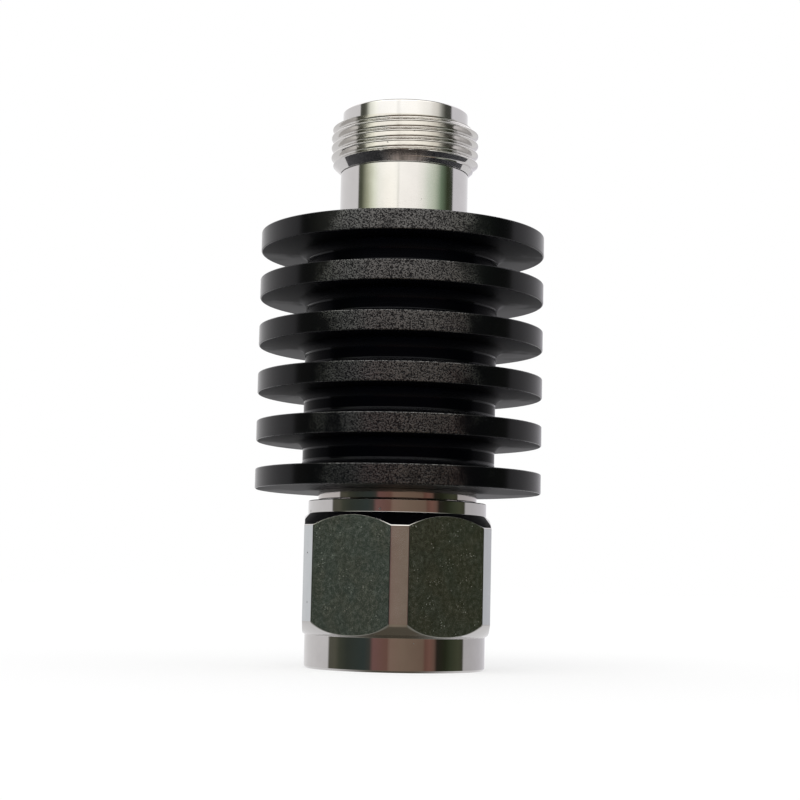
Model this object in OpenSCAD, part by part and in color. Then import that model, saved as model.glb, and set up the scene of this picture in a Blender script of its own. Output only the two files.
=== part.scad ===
/* [Heat sink] */
// Number of round fins on the heat sink
fin_count = 6; // [4:1:8]
// Diameter of the fins
fin_d = 30.3; // [28:0.1:34]
// Thickness of one fin
fin_t = 2.1; // [1.8:0.05:2.4]
// Free height between two fins
fin_gap = 2.97; // [2.6:0.01:3.4]
// Edge break along the rim of each fin
fin_break = 0.25; // [0.1:0.05:0.4]
// Diameter of the core between the fins
core_d = 20.4; // [18:0.1:22]
// Corner radius where a fin grows out of the core
root_fillet = 0.35; // [0.1:0.05:0.6]
// Bore through the heat sink, which holds the two carrier halves
sink_bore_d = 11; // [10.6:0.1:11.4]

/* [Coupling nut] */
// Length of the coupling nut
nut_len = 17.46; // [17:0.01:18.5]
// Width of the hexagon across its flats
hex_af = 19.42; // [19.2:0.01:20]
// Diameter to which the six corners are turned
corner_d = 21.44; // [21.2:0.01:22]
// Diameter of the round band at the mouth
mouth_band_d = 19.02; // [18.8:0.01:19.1]
// Height of the round band at the mouth
mouth_band_len = 3.45; // [3:0.05:4]
// Diameter of the round boss at the back
boss_d = 18.86; // [18.4:0.01:19.1]
// Height of the round boss at the back
boss_len = 1.36; // [1:0.01:1.8]
// Edge break round the mouth
mouth_break = 0.2; // [0.1:0.05:0.6]
// Turn of the nut at rest: how far one corner stands off the front
nut_turn = 1.7; // [-30:0.1:30]
// Depth of the plain counterbore in the mouth
mouth_bore_depth = 1.9; // [1.2:0.1:2.4]
// Depth of the internal thread, counted from the counterbore
nut_thread_depth = 8.4; // [7.6:0.1:8.6]
// Depth of one flank of the thread, from its crest to its root
thread_depth = 0.55; // [0.4:0.01:0.65]

/* [Jack end] */
// Outer diameter of the coupling thread
thread_d = 15.84; // [15.6:0.01:16]
// Length of the coupling thread
thread_len = 4; // [3.5:0.05:4.5]
// Chamfer at the start of the thread
thread_start = 0.2; // [0.1:0.05:0.6]
// Height of the cone between the neck and the thread
thread_cone = 0.8; // [0.5:0.05:1.2]
// Diameter of the plain neck under the thread
neck_d = 13.72; // [13.3:0.01:14.2]
// Height of the neck up to the cone
neck_len = 6.85; // [6.4:0.05:8]
// Diameter of the plain pilot at the mouth
pilot_d = 13.48; // [13:0.01:14]
// Height of the pilot
pilot_len = 1.8; // [1.4:0.05:2.4]
// Edge break round the mouth of the jack
pilot_break = 0.2; // [0.1:0.05:0.35]
// Bore that takes the outer contact of a plug
jack_bore_d = 8.1; // [8.05:0.01:8.3]
// Depth from the mouth to the shoulder on which a plug seats
jack_depth = 9.15; // [9:0.05:9.4]
// Height of the spring socket above that shoulder
socket_rise = 4.8; // [4.6:0.05:4.8]

/* [Plug end] */
// Outer diameter of the slotted outer contact
sleeve_d = 8; // [7.9:0.01:8]
// How far the outer contact stands back inside the nut
sleeve_recess = 2; // [1.8:0.1:2.2]
// Number of slots in the outer contact
sleeve_slots = 4; // [4:2:6]
// Diameter of the root that presses the outer contact into the plug body
sleeve_root_d = 8.6; // [8.4:0.05:8.8]
// Width of a slot in the outer contact
sleeve_slot_w = 0.5; // [0.3:0.05:0.6]
// Length of a slot in the outer contact
sleeve_slot_len = 5.5; // [4:0.1:6.5]
// Diameter of the barrel on which the nut turns
barrel_d = 13.9; // [13.7:0.05:14]
// Diameter of the flange between the nut and the heat sink
flange_d = 16.8; // [16.4:0.1:18]
// Thickness of that flange
flange_t = 1.02; // [0.9:0.02:1.4]
// Outer diameter of the gasket
gasket_d = 13.2; // [12.6:0.1:13.4]
// Thickness of the gasket
gasket_t = 1.2; // [1:0.05:1.4]
// Thickness of the split ring that holds the nut
ring_t = 0.7; // [0.6:0.05:0.8]
// Height of the lip of the nut behind the split ring
lip_len = 2; // [1.6:0.1:2.2]
// Opening between the ends of the split ring
ring_opening = 2.5; // [1.5:0.1:4]

/* [Contacts and supports] */
// Inner diameter of the outer conductor
line_d = 7; // [6.8:0.05:7.1]
// Diameter of the inner conductor
contact_d = 3.04; // [3:0.01:3.1]
// Diameter of the tip of the pin, and of the hole in the socket
pin_tip_d = 1.64; // [1.6:0.01:1.68]
// How far the tip of the pin stands back from the end of the outer contact
pin_tip_recess = 2.6; // [2.4:0.1:3]
// How far the shoulder of the pin stands back from the end of the outer contact
pin_shoulder_recess = 5.3; // [5.2:0.05:5.6]
// Depth of the hole in the socket
socket_hole = 5; // [4.5:0.1:5.4]
// Width of the slots in the socket
socket_slot_w = 0.3; // [0.2:0.05:0.4]
// Diameter of the insulating beads
bead_d = 9.8; // [9.6:0.1:10]
// Thickness of the insulating beads
bead_t = 2.4; // [2:0.1:2.6]
// Diameter of the spigots that enter the heat sink
spigot_d = 12; // [11.8:0.1:12.6]
// Length of the spigot of the plug end
plug_spigot_len = 4; // [3.6:0.1:4.4]
// Length of the spigot of the jack end
jack_spigot_len = 4.5; // [4:0.1:5]

/* [Resistor] */
// Width of the ceramic resistor card
card_w = 9; // [8.6:0.1:9.2]
// Thickness of the ceramic resistor card
card_t = 0.64; // [0.5:0.02:0.8]
// Thickness of the spring clips on the edges of the card
clip_t = 0.2; // [0.15:0.01:0.25]
// How far a clip reaches over the face of the card
clip_reach = 0.9; // [0.7:0.05:1]
// Width of the connecting tabs
tab_w = 1.4; // [1:0.1:1.6]
// Thickness of the connecting tabs
tab_t = 0.15; // [0.1:0.01:0.25]
// Length of a tab on the card
tab_on_card = 2; // [1.5:0.1:3]

/* [Fits] */
// Clearance all round between the turning nut and the barrel
turn_clearance = 0.08; // [0.03:0.01:0.1]
// Gap between the turning nut and the flange above it
nut_gap = 0.12; // [0.08:0.01:0.3]
// Clearance of the split ring inside the groove of the nut
ring_clearance = 0.15; // [0.1:0.01:0.25]
// Clearance of pieces that are pressed or soldered in place
seat_clearance = 0.02; // [0.01:0.005:0.05]
// Clearance between the mating thread and the plain counterbore of the nut
mouth_clearance = 0.18; // [0.1:0.01:0.3]

/* [Hidden] */
$fn = 96;
eps = 0.01;

// Heights along the axis, from the mouth of the nut upwards
flange_z = nut_len + nut_gap;
sink_z = flange_z + flange_t;
sink_len = fin_count * fin_t + (fin_count - 1) * fin_gap;
sink_top = sink_z + sink_len;
cone_z = sink_top + neck_len;
thread_z = cone_z + thread_cone;
pilot_z = thread_z + thread_len;
top_z = pilot_z + pilot_len;

// Seat of the gasket: a mated jack reaches it as its own shoulder meets the outer contact
gasket_z = sleeve_recess + jack_depth;
gasket_seat_z = gasket_z + gasket_t;
gasket_collar_t = 0.6;
gasket_collar_r = sleeve_root_d / 2 + gasket_collar_t;
gasket_collar_z = gasket_z + gasket_t / 3;

// Inside of the nut
nut_minor_r = thread_d / 2 - thread_depth;
mouth_bore_r = thread_d / 2 + mouth_clearance;
nut_thread_end = mouth_bore_depth + nut_thread_depth;
relief_depth = 0.1;
relief_r = thread_d / 2 + relief_depth;
nut_bore_r = barrel_d / 2 + turn_clearance;

// Split ring, half in the groove of the barrel and half in the groove of the nut
ring_reach = 0.55;
ring_z = nut_len - lip_len - ring_t - ring_clearance;
ring_in_r = barrel_d / 2 - ring_reach;
ring_out_r = barrel_d / 2 + ring_reach;
ring_spring = 0.1;
ring_groove_r = ring_in_r - ring_spring;
ring_slack = 0.03;

// Running surface of the nut in front of the ring: the relief ends where this land begins
bearing_land = 1.21;
relief_end = ring_z - ring_clearance - bearing_land;

// Outside of the nut: two 45 degree cones cut the corners of the hexagon
hex_low_z = mouth_band_len + (corner_d - mouth_band_d) / 2;
hex_high_z = nut_len - boss_len - (corner_d - boss_d) / 2;

// Seats of the beads: each is slid in from the heat sink end, up to a shoulder
bead_seat_r = bead_d / 2 + seat_clearance;
jack_shoulder_len = 1.35;
sleeve_seat_len = 0.65;
sleeve_socket_end = gasket_seat_z + sleeve_seat_len;
plug_shoulder_len = 1;
plug_bead_z = sleeve_socket_end + plug_shoulder_len;
plug_spigot_z = sink_z + plug_spigot_len;
jack_shoulder_z = top_z - jack_depth;
jack_bead_top = jack_shoulder_z - jack_shoulder_len;
jack_bead_z = jack_bead_top - bead_t;
jack_spigot_z = sink_top - jack_spigot_len;
bush_recess = 2;

// Resistor card between the two spigots
card_air = 0.2;
card_z = plug_spigot_z + card_air;
card_len = jack_spigot_z - card_air - card_z;
tail_d = 1.3;
tail_gap = 0.2;
tail_len = 2;
tab_on_tail = 1.6;
land_y = card_t / 2 + clip_t;
carrier_r = sink_bore_d / 2 - seat_clearance;

// Points of a quarter round from one angle to another about a centre
function corner(cx, cz, r, from, to, steps = 4) =
    [for (i = [0 : steps]) let (a = from + (to - from) * i / steps) [cx + r * cos(a), cz + r * sin(a)]];

// A turned piece: the section is spun round the axis
module turned(section) {
    rotate_extrude() polygon(section);
}

// A plain ring or bush with its lower end at height z
module bush(outer_r, inner_r, z, len) {
    translate([0, 0, z])
        difference() {
            cylinder(h = len, r = outer_r);
            translate([0, 0, -eps]) cylinder(h = len + 2 * eps, r = inner_r);
        }
}

// One fin: its rim has broken edges and its root runs into the core with small fillets
function fin_section(z) =
    let (rim = fin_d / 2, root = core_d / 2, b = fin_break, f = root_fillet)
    concat(
        z > sink_z + eps ? corner(root + f, z - f, f, 180, 90) : [],
        [[rim - b, z], [rim, z + b], [rim, z + fin_t - b], [rim - b, z + fin_t]],
        z + fin_t < sink_top - eps ? corner(root + f, z + fin_t + f, f, 270, 180) : []
    );

// Finned body turned from one bar, bored through for the resistor, with a counterbore at each end
module heat_sink() {
    outline = [for (i = [0 : fin_count - 1]) each fin_section(sink_z + i * (fin_t + fin_gap))];
    seat_r = spigot_d / 2 + seat_clearance;
    bore_r = sink_bore_d / 2;
    color([0.07, 0.07, 0.08])
        turned(concat(
            outline,
            [[seat_r, sink_top], [seat_r, jack_spigot_z], [bore_r, jack_spigot_z],
             [bore_r, plug_spigot_z], [seat_r, plug_spigot_z], [seat_r, sink_z]]
        ));
}

// Jack: spigot, neck, cone, thread and pilot outside, plug bore and bead seat inside
module female_shell() {
    thread_r = thread_d / 2;
    pilot_r = pilot_d / 2;
    bore_r = jack_bore_d / 2;
    b = pilot_break;
    color([0.78, 0.78, 0.80])
        turned([
            [spigot_d / 2, jack_spigot_z], [spigot_d / 2, sink_top],
            [neck_d / 2, sink_top], [neck_d / 2, cone_z],
            [thread_r, thread_z], [thread_r, pilot_z - thread_start],
            [thread_r - thread_start, pilot_z], [pilot_r, pilot_z],
            [pilot_r, top_z - b], [pilot_r - b, top_z],
            [bore_r + b, top_z], [bore_r, top_z - b],
            [bore_r, jack_shoulder_z], [line_d / 2, jack_shoulder_z],
            [line_d / 2, jack_bead_top], [bead_seat_r, jack_bead_top],
            [bead_seat_r, jack_spigot_z]
        ]);
}

// Flat tail on an inner conductor, to which a tab is soldered; it runs up from height z
module tail(z) {
    translate([0, 0, z])
        intersection() {
            cylinder(h = tail_len, d = tail_d);
            translate([-tail_d, -card_t / 2, 0]) cube([2 * tail_d, tail_d, tail_len]);
        }
}

// Spring socket of the jack, slotted into four fingers
module female_socket() {
    tip_z = jack_shoulder_z + socket_rise;
    foot_z = card_z + card_len + tail_gap + tail_len;
    color([0.83, 0.68, 0.33]) {
        difference() {
            translate([0, 0, foot_z]) cylinder(h = tip_z - foot_z, d = contact_d);
            translate([0, 0, tip_z - socket_hole]) cylinder(h = socket_hole + eps, d = pin_tip_d);
            for (turn = [0, 90])
                rotate([0, 0, turn])
                    translate([-contact_d, -socket_slot_w / 2, tip_z - socket_hole])
                        cube([2 * contact_d, socket_slot_w, socket_hole + eps]);
        }
        tail(foot_z - tail_len);
    }
}

// Insulating bead of the jack
module female_bead() {
    color([0.93, 0.93, 0.90])
        bush(bead_d / 2, contact_d / 2 + seat_clearance, jack_bead_z, bead_t);
}

// Bush that holds the bead of the jack against its shoulder
module female_bead_bush() {
    foot_z = jack_spigot_z + bush_recess;
    color([0.75, 0.64, 0.36])
        bush(bead_d / 2, line_d / 2, foot_z, jack_bead_z - foot_z);
}

// Body of the plug: spigot, flange, barrel for the nut and collar for the gasket
module male_body() {
    root_r = sleeve_root_d / 2 + seat_clearance;
    barrel_r = barrel_d / 2;
    groove_low = ring_z - ring_slack;
    groove_high = ring_z + ring_t + ring_slack;
    color([0.78, 0.78, 0.80])
        turned([
            [root_r, gasket_collar_z], [gasket_collar_r, gasket_collar_z],
            [gasket_collar_r, gasket_seat_z], [barrel_r, gasket_seat_z],
            [barrel_r, groove_low], [ring_groove_r, groove_low],
            [ring_groove_r, groove_high], [barrel_r, groove_high],
            [barrel_r, flange_z], [flange_d / 2, flange_z],
            [flange_d / 2, sink_z], [spigot_d / 2, sink_z],
            [spigot_d / 2, plug_spigot_z], [bead_seat_r, plug_spigot_z],
            [bead_seat_r, plug_bead_z], [line_d / 2, plug_bead_z],
            [line_d / 2, sleeve_socket_end], [root_r, sleeve_socket_end]
        ]);
}

// Outer contact of the plug: a thin sleeve with slots that make it springy
module male_outer_contact() {
    color([0.80, 0.79, 0.74])
        difference() {
            turned([
                [line_d / 2, sleeve_recess], [sleeve_d / 2, sleeve_recess],
                [sleeve_d / 2, gasket_collar_z], [sleeve_root_d / 2, gasket_collar_z],
                [sleeve_root_d / 2, sleeve_socket_end], [line_d / 2, sleeve_socket_end]
            ]);
            for (i = [0 : sleeve_slots / 2 - 1])
                rotate([0, 0, 45 + i * 360 / sleeve_slots])
                    translate([-sleeve_d, -sleeve_slot_w / 2, sleeve_recess - eps])
                        cube([2 * sleeve_d, sleeve_slot_w, sleeve_slot_len + eps]);
        }
}

// Centre pin of the plug: tip with a tapered end, shoulder, shank and soldered tail
module male_pin() {
    tip_z = sleeve_recess + pin_tip_recess;
    shoulder_z = sleeve_recess + pin_shoulder_recess;
    tip_r = pin_tip_d / 2;
    taper = tip_r / 2;
    tail_z = card_z - tail_gap - tail_len;
    color([0.83, 0.68, 0.33]) {
        turned([
            [0, tip_z], [tip_r - taper, tip_z], [tip_r, tip_z + 2 * taper],
            [tip_r, shoulder_z], [contact_d / 2, shoulder_z],
            [contact_d / 2, tail_z], [0, tail_z]
        ]);
        tail(tail_z);
    }
}

// Insulating bead of the plug
module male_bead() {
    color([0.93, 0.93, 0.90])
        bush(bead_d / 2, contact_d / 2 + seat_clearance, plug_bead_z, bead_t);
}

// Bush that holds the bead of the plug against its shoulder
module male_bead_bush() {
    foot_z = plug_bead_z + bead_t;
    color([0.75, 0.64, 0.36])
        bush(bead_d / 2, line_d / 2, foot_z, plug_spigot_z - bush_recess - foot_z);
}

// Outline of the nut spun round the axis, without its flats
module nut_turning() {
    corner_r = corner_d / 2;
    mouth_r = mouth_band_d / 2;
    groove_low = ring_z - ring_clearance;
    groove_high = ring_z + ring_t + ring_clearance;
    lead_in = mouth_bore_r - nut_minor_r;
    groove_out_r = ring_out_r + ring_clearance;
    turned([
        [mouth_bore_r, 0], [mouth_r - mouth_break, 0], [mouth_r, mouth_break],
        [mouth_r, mouth_band_len], [corner_r, hex_low_z], [corner_r, hex_high_z],
        [boss_d / 2, nut_len - boss_len], [boss_d / 2, nut_len],
        [nut_bore_r, nut_len], [nut_bore_r, groove_high],
        [groove_out_r, groove_high], [groove_out_r, groove_low],
        [nut_bore_r, groove_low], [nut_bore_r, relief_end],
        [relief_r, relief_end], [relief_r, nut_thread_end],
        [nut_minor_r, nut_thread_end], [nut_minor_r, mouth_bore_depth + lead_in],
        [mouth_bore_r, mouth_bore_depth]
    ]);
}

// Coupling nut: a hexagon between two round bands, its corners cut by cones
module coupling_nut() {
    hex_d = hex_af / cos(30);
    color([0.74, 0.74, 0.76])
        intersection() {
            nut_turning();
            rotate([0, 0, 30 + nut_turn])
                translate([0, 0, -eps]) cylinder(h = nut_len + 2 * eps, d = hex_d, $fn = 6);
        }
}

// Split ring that holds the nut on the barrel and lets it turn
module nut_retaining_ring() {
    color([0.70, 0.70, 0.72])
        difference() {
            bush(ring_out_r, ring_in_r, ring_z, ring_t);
            translate([0, -ring_opening / 2, ring_z - eps])
                cube([2 * ring_out_r, ring_opening, ring_t + 2 * eps]);
        }
}

// Gasket on its collar in front of the barrel
module nut_gasket() {
    color([0.80, 0.22, 0.14])
        bush(gasket_d / 2, gasket_collar_r + seat_clearance, gasket_z, gasket_t);
}

// Ceramic card that carries the resistive film
module resistor_card() {
    color([0.90, 0.90, 0.86])
        translate([-card_w / 2, -card_t / 2, card_z]) cube([card_w, card_t, card_len]);
}

// Half-round carrier between the spigots; side is -1 for the front half and 1 for the back half
module carrier_half(side) {
    span = jack_spigot_z - plug_spigot_z;
    wide = 2 * carrier_r;
    color([0.80, 0.80, 0.82])
        intersection() {
            bush(carrier_r, line_d / 2, plug_spigot_z, span);
            translate([-wide / 2, side > 0 ? land_y : -wide, plug_spigot_z])
                cube([wide, wide - (side > 0 ? 0 : land_y), span]);
        }
}

module carrier_front() {
    carrier_half(-1);
}

module carrier_back() {
    carrier_half(1);
}

// U-shaped spring clip on one long edge of the card; side is -1 or 1 along X
module ground_clip(side) {
    color([0.86, 0.78, 0.55])
        mirror([side < 0 ? 1 : 0, 0, 0])
            translate([card_w / 2 - clip_reach, -land_y, card_z])
                difference() {
                    cube([clip_reach + clip_t, 2 * land_y, card_len]);
                    translate([-eps, clip_t, -eps])
                        cube([clip_reach + eps, card_t, card_len + 2 * eps]);
                }
}

module ground_clip_left() {
    ground_clip(-1);
}

module ground_clip_right() {
    ground_clip(1);
}

// Flat tab from the tail of a conductor to the face of the card
module tab(z, len) {
    color([0.85, 0.72, 0.40])
        translate([-tab_w / 2, -card_t / 2 - tab_t, z]) cube([tab_w, tab_t, len]);
}

module input_tab() {
    tab(card_z - tail_gap - tab_on_tail, tab_on_tail + tail_gap + tab_on_card);
}

module output_tab() {
    tab(card_z + card_len - tab_on_card, tab_on_tail + tail_gap + tab_on_card);
}

heat_sink();
female_shell();
female_socket();
female_bead();
female_bead_bush();
male_body();
male_outer_contact();
male_pin();
male_bead();
male_bead_bush();
coupling_nut();
nut_retaining_ring();
nut_gasket();
resistor_card();
carrier_front();
carrier_back();
ground_clip_left();
ground_clip_right();
input_tab();
output_tab();
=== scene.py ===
# %% [markdown]
# # A coaxial attenuator, dressed in Blender
#
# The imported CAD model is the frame: it says where every piece is and what moves. This lesson keeps
# that frame and builds the surfaces that a photograph shows on top of it. All sizes in the text
# are millimetres, and `MM` turns them into Blender's metres.

# %% Load the frame
import cmath
import math

import bmesh
import bpy
import numpy as np
from mathutils import Matrix


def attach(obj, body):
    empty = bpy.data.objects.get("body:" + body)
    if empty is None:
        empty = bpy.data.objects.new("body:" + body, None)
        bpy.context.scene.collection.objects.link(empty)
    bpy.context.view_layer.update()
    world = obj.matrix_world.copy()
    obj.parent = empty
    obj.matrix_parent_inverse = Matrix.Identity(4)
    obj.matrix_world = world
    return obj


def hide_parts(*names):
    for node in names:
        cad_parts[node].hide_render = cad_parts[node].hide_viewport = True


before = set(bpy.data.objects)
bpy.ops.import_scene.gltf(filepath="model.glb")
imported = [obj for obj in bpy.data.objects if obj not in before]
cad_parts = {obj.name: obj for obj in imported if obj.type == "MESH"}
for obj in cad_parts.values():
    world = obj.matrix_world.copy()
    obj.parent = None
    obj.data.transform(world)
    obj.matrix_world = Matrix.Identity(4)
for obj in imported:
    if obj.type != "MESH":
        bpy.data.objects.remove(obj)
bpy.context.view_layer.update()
MM = 0.001


def add_object(name, data):
    made = bpy.data.objects.new(name, data)
    bpy.context.scene.collection.objects.link(made)
    return made

# %% [markdown]
# ## The camera
#
# The camera comes first, because every later choice is judged through it. The photograph was taken
# from close by, a little above the floor, so the fins open up towards the top. The camera looks
# five degrees upwards and is rolled by about one degree. The picture was cropped a little above its
# middle, which the shift of the frame takes up.

# %% Camera
CAMERA_AT = (0.09, -187.16, 8.90)
CAMERA_PITCH = 0.0924
CAMERA_ROLL = 0.0214
LENS = 79.26
FRAME_SHIFT = 0.0258

forward = np.array([0.0, math.cos(CAMERA_PITCH), math.sin(CAMERA_PITCH)])
level_up = np.array([0.0, -math.sin(CAMERA_PITCH), math.cos(CAMERA_PITCH)])
level_right = np.array([1.0, 0.0, 0.0])
right = math.cos(CAMERA_ROLL) * level_right + math.sin(CAMERA_ROLL) * level_up
up = math.cos(CAMERA_ROLL) * level_up - math.sin(CAMERA_ROLL) * level_right

camera_data = bpy.data.cameras.new("camera")
camera_data.lens = LENS
camera_data.sensor_width = 36
camera_data.shift_y = FRAME_SHIFT
camera_data.clip_start = 0.01
camera = add_object("camera", camera_data)
turned_to = Matrix(np.column_stack([right, up, -forward]).tolist()).to_4x4()
camera.matrix_world = Matrix.Translation([at * MM for at in CAMERA_AT]) @ turned_to
bpy.context.scene.camera = camera
bpy.context.scene.view_settings.view_transform = "Standard"
print("camera at", [round(at, 4) for at in camera.location])

# %% [markdown]
# ## Small helpers for node trees
#
# Shader trees and geometry trees are wired in the same way. `node` adds a node and feeds its
# inputs, and `value_of` adds one and returns an output as a `Number`. Numbers are written like
# ordinary arithmetic: `radius * 2.0 + wave` adds the two Math nodes that work it out.

# %% Node helpers
class Number:
    """One value of a node tree. Each + - * or / between two of them adds a Math node."""

    def __init__(self, socket):
        self.socket = socket

    def __add__(self, other):
        return calc("ADD", self, other)

    def __sub__(self, other):
        return calc("SUBTRACT", self, other)

    def __rsub__(self, other):
        return calc("SUBTRACT", other, self)

    def __mul__(self, other):
        return calc("MULTIPLY", self, other)

    def __truediv__(self, other):
        return calc("DIVIDE", self, other)

    __radd__ = __add__
    __rmul__ = __mul__


def wire(made, wires):
    """Join inputs of a node to values of the tree, or give them plain numbers and colours."""
    for label, value in wires.items():
        socket = made.inputs[label]
        if isinstance(value, Number):
            socket.id_data.links.new(value.socket, socket)
        else:
            socket.default_value = value


def node(tree, kind, wires=None, **settings):
    made = tree.nodes.new(kind)
    for name, value in settings.items():
        setattr(made, name, value)
    wire(made, wires or {})
    return made


def value_of(tree, kind, wires=None, output=0, **settings):
    """Add a node and return one of its outputs."""
    return Number(node(tree, kind, wires, **settings).outputs[output])


def outputs(made):
    """All outputs of a node by name."""
    return {socket.name: Number(socket) for socket in made.outputs}


def home(*values):
    """The tree that these values belong to."""
    return next(value.socket.id_data for value in values if isinstance(value, Number))


def calc(operation, *values):
    return value_of(home(*values), "ShaderNodeMath", dict(enumerate(values)), operation=operation)


def parts(vector):
    """The x, y and z of a vector."""
    return outputs(node(home(vector), "ShaderNodeSeparateXYZ", {0: vector})).values()


def mapped(value, low, high, start, end, kind):
    wires = {"Value": value, "From Min": low, "From Max": high, "To Min": start, "To Max": end}
    return value_of(home(value), "ShaderNodeMapRange", wires, "Result", interpolation_type=kind)


def between(value, low, high):
    """0 below low, 1 above high, and a soft ramp between them."""
    return mapped(value, low, high, 0.0, 1.0, "SMOOTHSTEP")


def ranged(value, low, high):
    """Spread a noise value over a range: about 0.3 gives low and about 0.7 gives high."""
    return mapped(value, 0.3, 0.7, low, high, "LINEAR")


def mixed(share, first, second, blend_type="MIX"):
    """A colour that goes from first to second; a Mix node has its colours at 6 and 7, out at 2."""
    tree = home(share, first, second)
    wires = {0: share, 6: first, 7: second}
    return value_of(tree, "ShaderNodeMix", wires, 2, data_type="RGBA", blend_type=blend_type)


def grey(level):
    return (level, level, level, 1.0)


def shade(colour, share=1.0):
    """A colour made darker, with the fourth number that a socket wants."""
    return (*(part * share for part in colour), 1.0)

# %% [markdown]
# ## Floor and studio
#
# Polished metal has hardly any colour of its own: what it shows is the room. The photograph's
# stripes come from a white paper sweep behind the part, a dark room with a few brown and green
# things in front of it, and one large soft panel above the camera. The world is built as that room,
# but only for glossy rays. Diffuse light stays plain white, so every painted colour renders as it
# is written, and the camera sees white paper.
#
# Azimuth is 0 towards the camera and grows towards +X, and elevation is 0 at the horizon.

# %% Colours of the room round the horizon
ROOM_LOW = [
    (-180, (0.93, 0.92, 0.93)), (-92.5, (0.84, 0.82, 0.83)),
    (-90.5, (0.125, 0.122, 0.097)), (-80, (0.12, 0.118, 0.09)), (-73, (0.07, 0.076, 0.056)),
    (-61, (0.047, 0.055, 0.045)), (-38, (0.047, 0.061, 0.057)), (-31, (0.066, 0.067, 0.059)),
    (-26.5, (0.235, 0.125, 0.115)), (-10, (0.21, 0.114, 0.09)),
    (-5, (0.29, 0.195, 0.152)), (10, (0.265, 0.19, 0.142)), (36, (0.225, 0.155, 0.115)),
    (39, (0.185, 0.095, 0.073)), (45, (0.24, 0.124, 0.098)), (51, (0.19, 0.113, 0.088)),
    (55, (0.031, 0.026, 0.02)), (67, (0.027, 0.031, 0.017)),
    (75, (0.049, 0.058, 0.034)), (88, (0.078, 0.085, 0.052)), (96, (0.07, 0.072, 0.048)),
    (98, (0.64, 0.62, 0.63)), (180, (0.8, 0.78, 0.83)),
]
ROOM_HIGH = [
    (-180, (0.96, 0.95, 0.96)), (-91, (0.95, 0.93, 0.94)),
    (-89, (0.11, 0.115, 0.085)), (-82, (0.11, 0.12, 0.08)),
    (-68, (0.58, 0.6, 0.43)), (-55, (1.17, 1.21, 1.0)),
    (-44, (1.46, 1.45, 1.33)), (-32, (1.63, 1.59, 1.46)),
    (-21, (1.68, 1.64, 1.51)), (-13, (1.66, 1.63, 1.51)),
    (-10.5, (1.22, 1.21, 1.11)), (-8, (1.6, 1.56, 1.48)),
    (22, (1.5, 1.46, 1.39)), (34, (1.28, 1.28, 1.18)), (45, (0.94, 1.01, 0.87)),
    (57, (0.69, 0.77, 0.62)), (70, (0.214, 0.298, 0.195)), (84, (0.047, 0.061, 0.032)),
    (97, (0.06, 0.07, 0.05)), (99, (0.88, 0.86, 0.9)),
    (180, (0.94, 0.93, 0.95)),
]
ROOM_TOP = [
    (-180, (0.96, 0.95, 0.96)), (-92.5, (0.95, 0.93, 0.94)),
    (-91, (0.1, 0.102, 0.085)), (-82, (0.11, 0.112, 0.093)), (-77, (0.22, 0.225, 0.19)),
    (-72.6, (0.735, 0.75, 0.66)), (-68, (1.22, 1.23, 1.11)), (-62, (1.4, 1.41, 1.28)),
    (-56, (1.62, 1.62, 1.5)), (-49, (1.65, 1.63, 1.58)), (-18, (1.72, 1.7, 1.64)),
    (-14, (1.45, 1.43, 1.38)), (-8, (1.68, 1.66, 1.6)), (20, (1.66, 1.63, 1.56)),
    (33, (1.52, 1.49, 1.41)), (45, (1.39, 1.36, 1.29)), (53, (1.17, 1.13, 1.06)),
    (61, (1.0, 0.97, 0.9)), (65.5, (0.72, 0.7, 0.65)), (70, (0.39, 0.385, 0.355)),
    (74.5, (0.21, 0.207, 0.185)), (79, (0.08, 0.08, 0.07)), (92, (0.08, 0.08, 0.07)),
    (95, (0.88, 0.86, 0.9)), (180, (0.94, 0.93, 0.95)),
]
ROOM_FLOOR = [
    (-180, (0.88, 0.87, 0.88)), (-98, (0.88, 0.87, 0.88)), (-97, (0.75, 0.74, 0.74)),
    (-80, (0.5, 0.5, 0.48)), (-57, (0.28, 0.28, 0.25)), (-30, (0.17, 0.165, 0.135)),
    (0, (0.31, 0.25, 0.19)), (30, (0.2, 0.18, 0.14)), (57, (0.27, 0.27, 0.24)),
    (80, (0.5, 0.5, 0.48)), (97, (0.75, 0.74, 0.74)), (98, (0.88, 0.87, 0.88)),
    (180, (0.88, 0.87, 0.88)),
]

# %% Colour ramps and empty trees
def round_ramp(share, stops):
    """A colour ramp whose stops are written in degrees of azimuth."""
    made = node(home(share), "ShaderNodeValToRGB", {"Fac": share})
    elements = made.color_ramp.elements
    elements.remove(elements[-1])
    for index, (degrees, colour) in enumerate(stops):
        at = (degrees + 180) / 360
        stop = elements.new(at) if index else elements[0]
        stop.position = at
        stop.color = shade(colour)
    return Number(made.outputs["Color"])


def empty_tree(owner):
    owner.use_nodes = True
    owner.node_tree.nodes.clear()
    return owner.node_tree

# %% [markdown]
# The rings of colour are blended by elevation. The bright panel begins about nine degrees up,
# which is why the neck and the thread, which are seen from below, shine white while the nut stays
# dark. Above the panel the ceiling is dark, and that draws the thin dark lines on edges that face
# up. The floor ring is what lies just in front of the part, in its own shadow. Straight down the
# room is dark too, as painted shadow of the part on the paper below.

# %% World
PANEL_GROWTH = 0.6


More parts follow.
